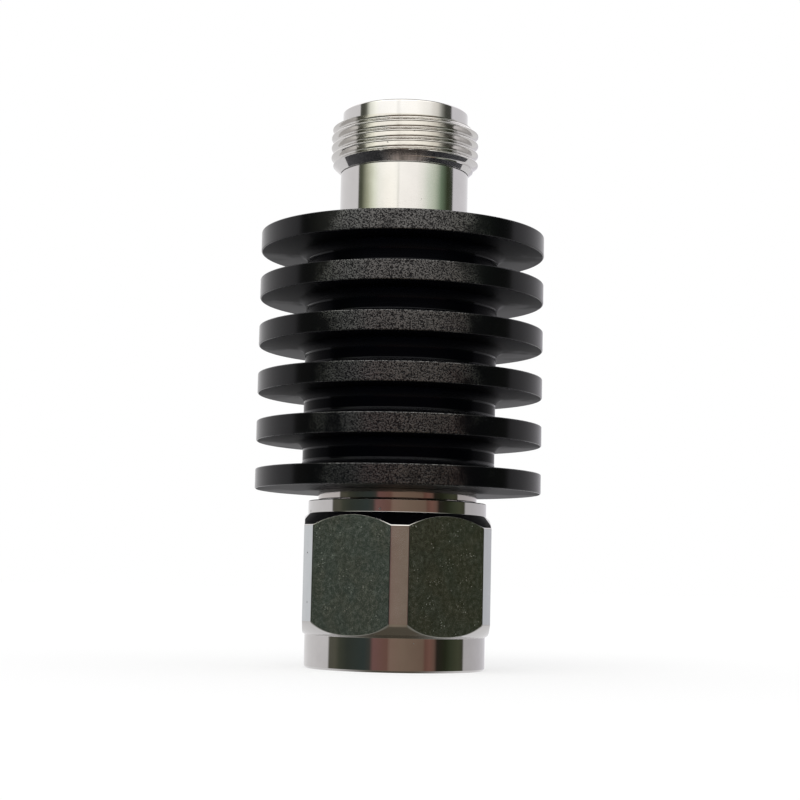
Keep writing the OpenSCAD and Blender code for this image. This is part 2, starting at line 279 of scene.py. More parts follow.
def studio_world():
    world = bpy.data.worlds.new("studio")
    tree = empty_tree(world)
    direction = value_of(tree, "ShaderNodeTexCoord", output="Generated")
    x, y, z = parts(direction)
    share = calc("ARCTAN2", x, y * -1.0) * (0.5 / math.pi) + 0.5
    elevation = calc("ARCSINE", z) * (180 / math.pi)

    growth = between(elevation, 14.5, 27.0) * PANEL_GROWTH + 1.0
    wires = {0: round_ramp(share, ROOM_TOP), "Scale": growth}
    panel = value_of(tree, "ShaderNodeVectorMath", wires, operation="SCALE")
    room = round_ramp(share, ROOM_LOW)
    # The floor ring and the dark ring straight down are the part's shadow on the paper, painted into
    # the room.
    for begin, end, ring in (
        (9.6, 11.4, round_ramp(share, ROOM_HIGH)), (13.5, 15.0, panel), (51.0, 63.0, grey(0.30)),
        (-6.0, -11.0, round_ramp(share, ROOM_FLOOR)), (-40.0, -80.0, (0.115, 0.100, 0.076, 1)),
    ):
        room = mixed(between(elevation, begin, end), room, ring)

    rays = outputs(node(tree, "ShaderNodeLightPath"))
    plain = mixed(rays["Is Glossy Ray"], grey(0.92), room)
    seen = calc("MAXIMUM", rays["Is Camera Ray"], rays["Is Transmission Ray"])
    light = value_of(tree, "ShaderNodeBackground", {"Color": mixed(seen, plain, grey(1.0))})
    node(tree, "ShaderNodeOutputWorld", {"Surface": light})
    return world


bpy.context.scene.world = studio_world()

# %% [markdown]
# The floor is one white sheet. Glossy rays pass through it, because the room already says what lies
# below the horizon. One wide sun gives the soft shadow at the foot of the part, and it is
# hidden from glossy rays too, so it puts no second highlight on the metal.

# %% Floor and light
FLOOR_SIDE = 4.0
PAPER_LIFT = 0.6
SUN_STRENGTH = 0.6


def studio_floor():
    material = bpy.data.materials.new("paper_floor")
    tree = empty_tree(material)
    rays = outputs(node(tree, "ShaderNodeLightPath"))
    paper = value_of(tree, "ShaderNodeBsdfDiffuse", {"Color": grey(0.98)})
    white = value_of(tree, "ShaderNodeEmission")
    clear = value_of(tree, "ShaderNodeBsdfTransparent")
    lift = rays["Is Camera Ray"] * PAPER_LIFT
    lifted = value_of(tree, "ShaderNodeMixShader", {0: lift, 1: paper, 2: white})
    choice = value_of(tree, "ShaderNodeMixShader", {0: rays["Is Glossy Ray"], 1: lifted, 2: clear})
    node(tree, "ShaderNodeOutputMaterial", {"Surface": choice})
    half = FLOOR_SIDE / 2
    mesh = bpy.data.meshes.new("floor")
    corners = [(-half, -half, 0), (half, -half, 0), (half, half, 0), (-half, half, 0)]
    mesh.from_pydata(corners, [], [(0, 1, 2, 3)])
    mesh.materials.append(material)
    return add_object("floor", mesh)


studio_floor()

sun_data = bpy.data.lights.new("sun", "SUN")
sun_data.energy = SUN_STRENGTH
sun_data.angle = math.radians(40)
sun = add_object("sun", sun_data)
sun.rotation_euler = (math.radians(35), math.radians(-20), 0)
sun.visible_glossy = False

# %% [markdown]
# ## Surface effects that several finishes share
#
# Every turned surface carries the fine rings of the tool. They depend on the distance from the axis
# and on the height, and hardly on the angle, so the noise reads those three numbers instead of X, Y
# and Z. The group puts out a height for a Bump node.

# %% Group: rings left by the tool
def new_group(name, inputs, results):
    """A shader group with its inputs and their defaults; gives back the group and those inputs."""
    group = bpy.data.node_groups.new(name, "ShaderNodeTree")
    for label, default in inputs.items():
        socket = group.interface.new_socket(label, in_out="INPUT", socket_type="NodeSocketFloat")
        socket.default_value = default
    for label in results:
        group.interface.new_socket(label, in_out="OUTPUT", socket_type="NodeSocketFloat")
    return group, outputs(node(group, "NodeGroupInput"))


def scaled_place(tree, x=1.0, y=1.0, z=1.0):
    """Object coordinates in millimetres, stretched along each axis."""
    wires = {
        "Vector": value_of(tree, "ShaderNodeTexCoord", output="Object"),
        "Scale": (x / MM, y / MM, z / MM),
    }
    return value_of(tree, "ShaderNodeMapping", wires)


def polar_place(tree):
    """Distance from the axis, angle and height of the shaded point, in millimetres and radians."""
    x, y, z = parts(scaled_place(tree))
    return calc("SQRT", x * x + y * y), calc("ARCTAN2", y, x), z


def joined(*values):
    return value_of(home(*values), "ShaderNodeCombineXYZ", dict(enumerate(values)))


def noise(place, scale, detail):
    wires = {"Vector": place, "Scale": scale, "Detail": detail}
    return value_of(home(place), "ShaderNodeTexNoise", wires)


def turned_lines_group():
    group, given = new_group("turned_lines", {"Lines per mm": 12.0, "Wander": 0.5}, ["Height"])
    radius, angle, height = polar_place(group)
    rings = joined(radius, angle * given["Wander"], height)
    node(group, "NodeGroupOutput", {"Height": noise(rings, given["Lines per mm"], 3.0)})
    return group


TURNED_LINES = turned_lines_group()

# %% [markdown]
# Dust and tiny pits are dots of many sizes. A Voronoi texture gives each cell a centre and a random
# colour: the distance makes the dot, and the colour picks which cells have one.

# %% Group: dust and pits
def specks_group():
    group, given = new_group("specks", {"Cells per mm": 2.0, "Size": 0.1, "Share": 0.2}, ["Mask"])
    wires = {"Vector": scaled_place(group), "Scale": given["Cells per mm"]}
    cells = outputs(node(group, "ShaderNodeTexVoronoi", wires))
    picks = outputs(node(group, "ShaderNodeSeparateColor", {0: cells["Color"]}))
    dot = calc("LESS_THAN", cells["Distance"], given["Size"] * picks["Green"])
    chosen = calc("LESS_THAN", picks["Red"], given["Share"])
    node(group, "NodeGroupOutput", {"Mask": dot * chosen})
    return group


SPECKS = specks_group()

# %% [markdown]
# The rims of the fins were bead-blasted before the heat sink was anodised. Blasting leaves dents of
# a quarter of a millimetre. The nozzle stood at three places round the part, so the dents are
# deep in three broad patches with ragged ends, and the rims are nearly smooth between them. The
# high spots between dents are also burnished, which the glint mask gives.

# %% Group: blasted grain
def blasted_group():
    inputs = {"Grains per mm": 7.3, "Nozzle angle": -1.60}
    group, given = new_group("blasted_grain", inputs, ["Height", "Patch", "Glint"])
    place = scaled_place(group)
    grains = noise(place, given["Grains per mm"], 0.0)
    ragged = noise(place, 0.35, 4.0) - 0.5
    turned = ragged * 0.8 + (polar_place(group)[1] - given["Nozzle angle"])
    thin = between(noise(place, 0.22, 3.0), 0.30, 0.44)
    patch = between(calc("COSINE", turned * 3.0), -0.20, 0.50) * (thin * 0.4 + 0.6)
    glint = between(grains, 0.37, 0.65) * patch
    node(group, "NodeGroupOutput", {"Height": grains * patch, "Glint": glint, "Patch": patch})
    return group


BLASTED = blasted_group()

# %% [markdown]
# ## Finishes
#
# A finish is one Principled shader. Numbers that are the same all over sit on its own sockets, and
# only what changes from place to place is linked. `finish` makes the shader, and `bump` lays a
# height on its normal; the distance is the real depth of the relief in millimetres.

# %% Finish helpers
def finish(name, colour, metallic, roughness):
    material = bpy.data.materials.new(name)
    material.use_nodes = True
    tree = material.node_tree
    shader = tree.nodes["Principled BSDF"]
    wire(shader, {"Base Color": shade(colour), "Metallic": metallic, "Roughness": roughness})
    return material, tree, shader


def placed(tree, group, **values):
    """Put a group in a material. Its inputs are named with _ for a space."""
    wires = {label.replace("_", " "): value for label, value in values.items()}
    return outputs(node(tree, "ShaderNodeGroup", wires, node_tree=group)).values()


def bump(shader, height, depth):
    wires = {"Height": height, "Distance": depth * MM, "Strength": 1.0}
    wire(shader, {"Normal": value_of(home(height), "ShaderNodeBump", wires)})

# %% [markdown]
# Black anodise is a dyed oxide layer over aluminium: not a metal to the eye, nearly black. The
# blasted rims have a satin sparkle. The flat sides of the fins were faced with a coarse feed, and
# their fine grooves hide most of what they would mirror at a low angle. The core between the
# fins is dull and deep black, apart from the line that the corner of the tool burnished.

# %% Black anodise
def black_anodise(name, colour, ior, roughness, grain_depth=0.0, tint=(0.90, 0.92, 1.0)):
    material, tree, shader = finish(name, colour, 0.0, roughness)
    height, patch, glint = placed(tree, BLASTED)
    wire(shader, {
        "IOR": ior, "Specular Tint": shade(tint),
        "Roughness": patch * (roughness * -0.2) + roughness,
        "Base Color": mixed(patch, shade(colour, 0.7), shade(colour)),
    })
    if grain_depth:
        wire(shader, {"Coat Roughness": 0.22, "Coat IOR": 1.9, "Coat Weight": glint})
        bump(shader, height, grain_depth)
    else:
        bump(shader, *placed(tree, TURNED_LINES, Lines_per_mm=7.0), 0.004)
    return material

# %% [markdown]
# The connectors are brass with a bright nickel-like plating. Turning lines show as a faint
# unevenness along each reflection, and a few pits break the mirror. The flats of the nut were
# milled, so they get straight strokes, a duller gloss and dust.

# %% Turned and milled plating
def turned_plating(name, colour, roughness=0.07, line_depth=0.0012, lines=14.0, chatter=0.0):
    material, tree, shader = finish(name, colour, 1.0, roughness)
    [relief] = placed(tree, TURNED_LINES, Lines_per_mm=lines)
    [pits] = placed(tree, SPECKS, Cells_per_mm=1.1, Size=0.16, Share=0.10)
    stain = noise(scaled_place(tree), 0.5, 4.0)
    tint = mixed(ranged(stain, 0.0, 1.0), shade(colour, 0.94), shade(colour))
    wire(shader, {
        "Roughness": pits * 0.35 + ranged(stain, roughness * 0.8, roughness * 1.3),
        "Base Color": mixed(pits, tint, shade(colour, 0.45)),
    })
    if chatter:
        radius, angle, height = polar_place(tree)
        relief = noise(joined(radius, angle * 6.0, height * 2.0), 1.2, 2.0) * chatter + relief
    bump(shader, relief, line_depth)
    return material


def milled_plating(name, cool, warm):
    material, tree, shader = finish(name, warm, 1.0, 0.16)
    upright = noise(scaled_place(tree, z=0.10), 8.0, 3.0)
    level = noise(scaled_place(tree, x=0.10, y=0.10), 8.0, 3.0)
    [dust_and_painted_glow] = placed(tree, SPECKS, Cells_per_mm=5.2, Size=0.40, Share=0.50)
    [grit] = placed(tree, SPECKS, Cells_per_mm=2.6, Size=0.16, Share=0.12)
    swarm = between(noise(scaled_place(tree), 0.7, 3.0), 0.46, 0.66)
    specks = calc("MAXIMUM", dust_and_painted_glow * (swarm * 0.6), grit * 0.8)
    mottle = noise(scaled_place(tree), 2.6, 4.0)
    cloud = noise(scaled_place(tree, z=0.8), 0.5, 3.0)
    tint = mixed(between(cloud, 0.38, 0.62), shade(cool), shade(warm))
    dimmed = mixed(ranged(mottle, 0.0, 1.0), grey(0.82), grey(1.0))
    wire(shader, {
        "Roughness": specks * 0.26 + ranged(mottle, 0.12, 0.20),
        "Base Color": mixed(1.0, tint, dimmed, "MULTIPLY"),
    })
    bump(shader, level + upright, 0.0015)
    return material


def cone_plating(name, colour):
    """A mirror with three patches of painted highlight, which glow softly instead of reflecting."""
    material, tree, shader = finish(name, colour, 1.0, 0.1)
    angle, height = polar_place(tree)[1:]
    highlight_patch = between(calc("COSINE", (angle + (math.pi / 2 - 0.02)) * 3.0), 0.30, 1.0)
    streak = ranged(noise(joined(angle, 0.0, height * 0.02), 14.0, 3.0), 0.4, 1.6)
    # Painted highlight: in the patches the cone is tan, rougher and less metal, so it glows. The
    # glow is strongest towards the neck, and one patch faces -Y.
    dust_and_painted_glow = (between(height, 53.70, 52.95) * 0.42 + 0.08) * streak * highlight_patch + 0.03
    wire(shader, {
        "Base Color": mixed(highlight_patch, shade(colour), (0.60, 0.50, 0.44, 1)),
        "Metallic": 1.0 - dust_and_painted_glow, "Roughness": highlight_patch * 0.12 + 0.06,
    })
    bump(shader, *placed(tree, TURNED_LINES, Lines_per_mm=12.0), 0.001)
    return material


PLATING = (0.585, 0.575, 0.565)
NUT_PLATING = (0.56, 0.55, 0.54)
BLASTED_RIM = black_anodise(
    "black_anodise", (0.0022, 0.0023, 0.003), 1.28, 0.16, grain_depth=0.03, tint=(0.98, 0.98, 1.0),
)
FACED_FIN = black_anodise("faced_anodise", (0.0018, 0.0020, 0.0044), 1.20, 0.55)
UPPER_FACE = black_anodise("upper_anodise", (0.0040, 0.0042, 0.0055), 1.46, 0.36)
DULL_CORE = black_anodise("dull_anodise", (0.0016, 0.0018, 0.0036), 1.08, 0.20)
BURNISHED = black_anodise("burnished_anodise", (0.0020, 0.0022, 0.0040), 1.20, 0.12)
SHELL_METAL = turned_plating("turned_metal", PLATING)
THREAD_METAL = turned_plating(
    "cut_thread", (0.60, 0.588, 0.565), roughness=0.09, line_depth=0.0015, lines=9.0, chatter=12.0,
)
# The cone under the thread carries a painted highlight in three soft patches.
CONE_METAL = cone_plating("cone_under_thread", PLATING)
# The flange's plating is darker and browner than the rest: partly a stain, partly painted shade
# under the lowest fin.
FLANGE_METAL = turned_plating("flange_metal", (0.50, 0.47, 0.45), roughness=0.035)
NUT_TURNED = turned_plating("nut_turned", NUT_PLATING, roughness=0.05, line_depth=0.0008)
NUT_MILLED = milled_plating("nut_milled", (0.66, 0.70, 0.655), (0.70, 0.70, 0.63))
NUT_CORNER = turned_plating("nut_corner", (0.59, 0.62, 0.63), roughness=0.12)
# DARK_LINE is painted shade: a dark metal laid in the neck's cut line and on the narrow rounded
# edges between the nut's flats and corners.
DARK_LINE = turned_plating("dark_line", (0.20, 0.20, 0.19), roughness=0.20)

# %% [markdown]
# The small pieces inside the two mouths are gold-plated contacts, white insulators and a red
# silicone gasket. They can be seen only by looking into a mouth, but each still gets its finish.

# %% Finishes of the inner pieces
def grained(name, colour, metallic, roughness, scale=2.0, spread=0.12):
    material, tree, shader = finish(name, colour, metallic, roughness)
    cloud = noise(scaled_place(tree), scale, 4.0)
    wire(shader, {
        "Base Color": mixed(ranged(cloud, 0.0, 1.0), shade(colour, 1 - spread), shade(colour)),
        "Roughness": ranged(cloud, roughness * 0.8, roughness * 1.2),
    })
    bump(shader, noise(scaled_place(tree), scale * 6, 2.0), 0.004)
    return material


GOLD = turned_plating("gold_plate", (0.93, 0.66, 0.27), roughness=0.14)
BRIGHT = turned_plating("bright_plate", (0.80, 0.79, 0.75), roughness=0.12)
BRASS = turned_plating("bare_brass", (0.78, 0.57, 0.28), roughness=0.22)
SPRING = grained("spring_wire", (0.70, 0.58, 0.36), 1.0, 0.25)
BARE = turned_plating("bare_aluminium", (0.78, 0.78, 0.79), roughness=0.25, line_depth=0.003)
WHITE = grained("white_insulator", (0.86, 0.86, 0.83), 0.0, 0.42, scale=1.2, spread=0.06)
RED = grained("red_silicone", (0.42, 0.035, 0.02), 0.0, 0.48, scale=1.5, spread=0.2)
CERAMIC = grained("ceramic", (0.80, 0.79, 0.74), 0.0, 0.55, scale=4.0, spread=0.08)

# %% [markdown]
# ## Sections with small radii
#
# A turned piece is its section spun round the axis. No real edge is perfectly sharp, and a tiny
# radius is what draws the thin bright line along an edge, so `rounded` swaps each corner for a
# short arc. A corner is (radius, height, edge radius) and may carry a mark for later.

# %% Rounded sections
def rounded(corners, steps=4, closed=True):
    """Swap each corner for an arc. Radius and height are reckoned with as one complex number."""
    rows = []
    for index, (radius, height, edge, *mark) in enumerate(corners):
        mark = mark[0] if mark else ""
        if edge == 0 or not (closed or 0 < index < len(corners) - 1):
            rows.append((radius, height, mark))
            continue
        here = complex(radius, height)
        last = complex(*corners[index - 1][:2]) - here
        then = complex(*corners[(index + 1) % len(corners)][:2]) - here
        last /= abs(last)
        then /= abs(then)
        half = math.acos(min(1.0, max(-1.0, (last * then.conjugate()).real))) / 2
        centre = here + (last + then) / abs(last + then) * edge / math.sin(half)
        start = here + last * edge / math.tan(half) - centre
        turns_left = (last.conjugate() * then).imag > 0
        sweep = 2 * half - math.pi if turns_left else math.pi - 2 * half
        for step in range(steps + 1):
            spot = centre + start * cmath.rect(1.0, sweep * step / steps)
            rows.append((spot.real, spot.imag, mark))
    return rows

# %% [markdown]
# Every finished mesh goes through `finished`: doubles are merged, normals point outwards, edges
# over 38 degrees stay hard, and the rest is shaded smoothly with big faces counting most. That
# keeps a flat face flat right up to its rounded edge.

# %% Finishing a mesh
HARD_EDGE = math.radians(38)
ENLARGED = 100000.0
MERGE = 0.0008


def baked(owner):
    """The plain mesh that an object's modifiers make."""
    view = owner.evaluated_get(bpy.context.evaluated_depsgraph_get())
    mesh = bpy.data.meshes.new_from_object(view)
    owner.modifiers.clear()
    return mesh


def weighted(piece):
    """Bake face-weighted normals, enlarged: the modifier takes all areas under 0.01 as equal."""
    piece.data.transform(Matrix.Scale(ENLARGED, 4))
    modifier = piece.modifiers.new("weighted", "WEIGHTED_NORMAL")
    modifier.keep_sharp = True
    modifier.weight = 50
    bpy.context.view_layer.update()
    old = piece.data
    piece.data = baked(piece)
    bpy.data.meshes.remove(old)
    piece.data.transform(Matrix.Scale(1 / ENLARGED, 4))
    piece.data.name = piece.name


def finished(name, mesh, materials):
    shape = bmesh.new()
    shape.from_mesh(mesh)
    bmesh.ops.remove_doubles(shape, verts=shape.verts, dist=MERGE * MM)
    bmesh.ops.dissolve_degenerate(shape, edges=shape.edges, dist=MERGE * MM / 4)
    bmesh.ops.recalc_face_normals(shape, faces=shape.faces)
    for edge in shape.edges:
        edge.smooth = len(edge.link_faces) == 2 and edge.calc_face_angle(0) < HARD_EDGE
    for face in shape.faces:
        face.smooth = True
    open_edges = sum(1 for edge in shape.edges if len(edge.link_faces) != 2)
    shape.to_mesh(mesh)
    shape.free()
    mesh.materials.clear()
    for material in materials:
        mesh.materials.append(material)
    piece = add_object(name, mesh)
    weighted(piece)
    triangles = sum(len(face.vertices) - 2 for face in piece.data.polygons)
    print(f"{name}: {triangles} triangles, {open_edges} open edges")
    return piece


def paint(piece, finish_at):
    """Ask for each face's finish by its distance from the axis, its height and its normal."""
    order = list(piece.data.materials)
    for face in piece.data.polygons:
        across = math.hypot(face.center.x, face.center.y) / MM
        face.material_index = order.index(finish_at(across, face.center.z / MM, face.normal))


def take_over(piece, node_name, body):
    """The piece stands for a CAD node and moves with its body."""
    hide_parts(node_name)
    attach(piece, body)

# %% [markdown]
# ## The heat sink
#
# Six equal fins on one core are a pattern, so Geometry Nodes make them. The object's own mesh holds
# only points: the section of one fin, then the section of the bore. The tree lays a grid, reads for
# each grid point which section point and which fin it belongs to, and spins it round the axis. What
# would stick out below the first fin or above the last is pressed flat onto the end faces.

# %% Geometry helpers
def new_tree(name, inputs):
    """A geometry tree and its inputs, which are listed by their kind."""
    tree = bpy.data.node_groups.new(name, "GeometryNodeTree")
    for kind, labels in {"Geometry": ["Geometry"], **inputs}.items():
        for label in labels:
            tree.interface.new_socket(label, in_out="INPUT", socket_type="NodeSocket" + kind)
    tree.interface.new_socket("Geometry", in_out="OUTPUT", socket_type="NodeSocketGeometry")
    return tree, outputs(node(tree, "NodeGroupInput"))


def grid_of(rows, columns):
    """A loose grid and the row and column number of each of its points."""
    tree = home(rows)
    grid = value_of(tree, "GeometryNodeMeshGrid", {"Vertices X": rows, "Vertices Y": columns})
    index = value_of(tree, "GeometryNodeInputIndex")
    row = calc("FLOOR", (index + 0.5) / columns)
    return grid, row, index - row * columns


def whole(value):
    """Turn a float that is nearly whole into an index."""
    return value_of(home(value), "FunctionNodeFloatToInt", {0: value}, rounding_mode="ROUND")


def read_point(geometry, index, label=None):
    """The place of a point of the object's own mesh, or its attribute with this label."""
    tree = home(geometry)
    value = value_of(tree, "GeometryNodeInputPosition")
    kind = "FLOAT_VECTOR"
    if label:
        kind = "FLOAT"
        value = value_of(tree, "GeometryNodeInputNamedAttribute", {"Name": label}, data_type=kind)
    wires = {"Geometry": geometry, "Value": value, "Index": whole(index)}
    return value_of(tree, "GeometryNodeSampleIndex", wires, data_type=kind, domain="POINT")


def section_point(geometry, index):
    """The radius and the height of a point of a section."""
    radius, side, height = parts(read_point(geometry, index))
    return radius, height


def spun(mesh, radius, angle, height, material):
    """Place the grid's points, weld the seams, and end the tree."""
    tree = home(mesh)
    place = joined(radius * calc("COSINE", angle), radius * calc("SINE", angle), height)
    for kind, wires in (
        ("SetPosition", {"Position": place}), ("MergeByDistance", {"Distance": 0.0005 * MM}),
        ("RealizeInstances", {}), ("SetMaterial", {"Material": material}),
    ):
        mesh = value_of(tree, "GeometryNode" + kind, {"Geometry": mesh, **wires})
    node(tree, "NodeGroupOutput", {"Geometry": mesh})


def grown(name, points, tree, values, attributes=()):
    """Run a tree on a mesh of loose points and return the plain mesh that it makes."""
    seed = bpy.data.meshes.new(name + "_points")
    seed.from_pydata([tuple(part * MM for part in point) for point in points], [], [])
    for label, numbers in attributes:
        seed.attributes.new(label, "FLOAT", "POINT").data.foreach_set("value", numbers)
    holder = add_object(name + "_seed", seed)
    modifier = holder.modifiers.new("tree", "NODES")
    modifier.node_group = tree
    for item in tree.interface.items_tree:
        if item.name in values:
            modifier[item.identifier] = values[item.name]
    mesh = baked(holder)
    bpy.data.objects.remove(holder)
    bpy.data.meshes.remove(seed)
    return mesh

# %% Tree: equal fins on a core
def fins_tree():
    tree, want = new_tree("fins_on_a_core", {
        "Int": ["Fins", "Fin points", "Bore points", "Steps round"],
        "Float": ["Pitch", "Bottom", "Top"], "Material": ["Material"],
    })
    outside = want["Fins"] * want["Fin points"]
    total = outside + want["Bore points"]
    mesh, row, column = grid_of(whole(total + 1.0), whole(want["Steps round"] + 1.0))
    row = calc("FLOORED_MODULO", row, total)

    fin = calc("FLOOR", (row + 0.5) / want["Fin points"])
    on_fin = row - fin * want["Fin points"]
    in_bore = row - outside + want["Fin points"]
    is_bore = calc("GREATER_THAN", row, outside - 0.5)
    is_fin = 1.0 - is_bore
    radius, height = section_point(want["Geometry"], is_bore * in_bore + is_fin * on_fin)
    height = height + fin * is_fin * want["Pitch"]
    height = calc("MINIMUM", calc("MAXIMUM", height, want["Bottom"]), want["Top"])
    angle = column / want["Steps round"] * (2 * math.pi)
    spun(mesh, radius, angle, height, want["Material"])
    return tree

# %% Heat sink
FIN_COUNT = 6
STEPS_ROUND = 256
FIN_RADIUS = 15.15
FIN_THICK = 2.1
FIN_PITCH = 5.07
CORE_RADIUS = 10.2
ROOT_RADIUS = 1.0
RIM_RADIUS = 0.12
SINK_BOTTOM = 18.6
SINK_TOP = SINK_BOTTOM + (FIN_COUNT - 1) * FIN_PITCH + FIN_THICK
SPIGOT_SEAT = 6.02
SINK_BORE = 5.5
PLUG_SPIGOT_TOP = 22.6
JACK_SPIGOT_FOOT = 41.55
EDGE = 0.06
BORE = [
    (SPIGOT_SEAT, SINK_TOP), (SPIGOT_SEAT, JACK_SPIGOT_FOOT), (SINK_BORE, JACK_SPIGOT_FOOT),
    (SINK_BORE, PLUG_SPIGOT_TOP), (SPIGOT_SEAT, PLUG_SPIGOT_TOP), (SPIGOT_SEAT, SINK_BOTTOM),
]


def anodise_at(across, level, normal):
    if across > FIN_RADIUS - RIM_RADIUS - 0.02:
        return BLASTED_RIM
    if abs(normal.z) > 0.20:
        return UPPER_FACE if normal.z > 0 else FACED_FIN
    return BURNISHED if abs(normal.z) > 0.05 else DULL_CORE


def heat_sink():
    low = SINK_BOTTOM
    top = SINK_BOTTOM + FIN_THICK
    fin = rounded([
        (CORE_RADIUS, low - 1, 0), (CORE_RADIUS, low, ROOT_RADIUS), (FIN_RADIUS, low, RIM_RADIUS),
        (FIN_RADIUS, top, RIM_RADIUS), (CORE_RADIUS, top, ROOT_RADIUS), (CORE_RADIUS, top + 1, 0),
    ], steps=8, closed=False)[1:-1]
    points = [(radius, 0, height) for radius, height, *mark in fin + BORE]
    mesh = grown("heat_sink", points, fins_tree(), {
        "Fins": FIN_COUNT, "Fin points": len(fin), "Bore points": len(BORE),
        "Steps round": STEPS_ROUND, "Pitch": FIN_PITCH * MM, "Bottom": SINK_BOTTOM * MM,
        "Top": SINK_TOP * MM, "Material": BLASTED_RIM,
    })
    finishes = [BLASTED_RIM, FACED_FIN, DULL_CORE, BURNISHED, UPPER_FACE]
    piece = finished("heat_sink_fins", mesh, finishes)
    paint(piece, anodise_at)
    take_over(piece, "heat_sink", "attenuator")


heat_sink()

# %% [markdown]
# ## Threads and the hexagon
#
# The jack's shell and the coupling nut are turned pieces with one rule more. A thread is a row of
# points that climbs one pitch in each turn. The tree slopes every row marked `wind` that way, stops
# it at the ends of the thread, and sets its radius from where it is inside the pitch: crest, flank
# or groove. The chamfers at the thread's ends just limit how high the crest may stand.
#
# The nut's six flats are a rule too. For each angle the tree knows how far the hexagon reaches, and
# the rows with a reach of 1 follow it. A row that moves in must slide along the cone above or below
# the hexagon, so it also climbs or sinks, which draws the curved ends of the flats. The lower cone
# is a little convex, so its rows have a bend too. The corners are worn rounder than the
# flats' own edges, so each row has a second place that holds on the flats.

# %% Tree: thread and hexagon
LENGTHS = [
    "Pitch", "Groove radius", "Depth", "Crest edge", "Root edge", "Low end", "High end",
    "High lift", "Apothem", "Corner radius", "Edge",
]
RATIOS = ["Phase", "Outward", "Groove share", "Crest from", "Low slope", "High slope", "Turn"]


def blend(share, first, second):
    return (second - first) * share + first


def thread_rise(want, angle, height):
    """How far the crest stands above the groove at this angle and height."""
    climb = angle / (2 * math.pi) * want["Pitch"]
    phase = calc("FRACT", (height - climb) / want["Pitch"] - want["Phase"])
    off_crest = 1.0 - calc("ABSOLUTE", phase * 2.0 - 1.0)
    flank = (off_crest - want["Groove share"]) / (want["Crest from"] - want["Groove share"])
    rise = calc("SMOOTH_MIN", flank * want["Depth"], want["Depth"], want["Crest edge"])
    rise = calc("SMOOTH_MAX", rise, 0.0, want["Root edge"])
    rise = calc("MINIMUM", rise, (height - want["Low end"]) * want["Low slope"])
    from_high = (want["High end"] - height) * want["High slope"] + want["High lift"]
    return calc("MAXIMUM", calc("MINIMUM", rise, from_high), 0.0)


def hexagon_reach(want, angle):
    """How far the hexagon with turned corners reaches out, less the corner radius."""
    sixth = math.pi / 3
    folded = calc("FLOORED_MODULO", angle - want["Turn"] + sixth / 2, sixth) - sixth / 2
    flat = want["Apothem"] / calc("COSINE", folded)
    return calc("SMOOTH_MIN", flat, want["Corner radius"], want["Edge"]) - want["Corner radius"]


def turning_tree():
    tree, want = new_tree("turned_with_rules", {
        "Int": ["Rows", "Columns"], "Float": LENGTHS + RATIOS, "Material": ["Material"],
    })
    mesh, row, column = grid_of(whole(want["Rows"] + 1.0), want["Columns"])
    row = calc("FLOORED_MODULO", row, want["Rows"])

    def number(label, index=row):
        return read_point(want["Geometry"], index, label)

    angle = number("angle", column + want["Rows"])
    wind = number("wind")
    radius, height = section_point(want["Geometry"], row)
    wound = angle / (2 * math.pi) * want["Pitch"] + height
    wound = calc("MINIMUM", calc("MAXIMUM", wound, want["Low end"]), want["High end"])
    thread = thread_rise(want, angle, wound) * want["Outward"] + want["Groove radius"]

    out = hexagon_reach(want, angle)
    on_flat = between(out, 0.0, -0.70 * MM)
    radius = blend(on_flat, radius, number("flat radius")) + out * number("reach")
    slide = out * (out * number("bend") + number("climb"))
    height = blend(on_flat, height, number("flat height")) + slide
    spun(mesh, blend(wind, radius, thread), angle, blend(wind, height, wound), want["Material"])
    return tree


TURNING = turning_tree()

# %% [markdown]
# The rows of a thread are laid at the corners of its profile, so the mesh lines follow the crests
# and grooves exactly. Real threads have their corners rounded: the tree rounds them with smooth
# minimum and maximum, and each corner gets a few rows across that rounding.

# %% Rows of a thread
THREAD_PITCH = 1.0583


def thread_rows(low, high, form):
    """Heights of all rows that can lie between the two ends at some angle."""
    flank = (form["Crest from"] - form["Groove share"]) / 2 / form["Depth"]
    half = [0.0]
    for share, edge, steps in (
        (form["Groove share"], form["Root edge"], (-0.5, 0.0, 0.5, 1.0)),
        (form["Crest from"], form["Crest edge"], (-1.0, -0.5, 0.0, 0.5)),
    ):
        half += [share / 2 + step * edge * flank for step in steps]
    half = [place for place in half if 0.0 <= place < 0.5] + [0.5]
    corners = sorted({round(place, 6) for side in half for place in (side, 1.0 - side)} - {1.0})
    corners = sorted(((corner + form["Phase"]) % 1.0) * THREAD_PITCH for corner in corners)
    first = math.floor(low / THREAD_PITCH) - 3
    last = math.ceil(high / THREAD_PITCH) + 2
    heights = [turn * THREAD_PITCH + corner for turn in range(first, last) for corner in corners]
    lowest = low - 1.5 * THREAD_PITCH
    highest = high + 0.5 * THREAD_PITCH
    return [height for height in heights if lowest < height < highest]


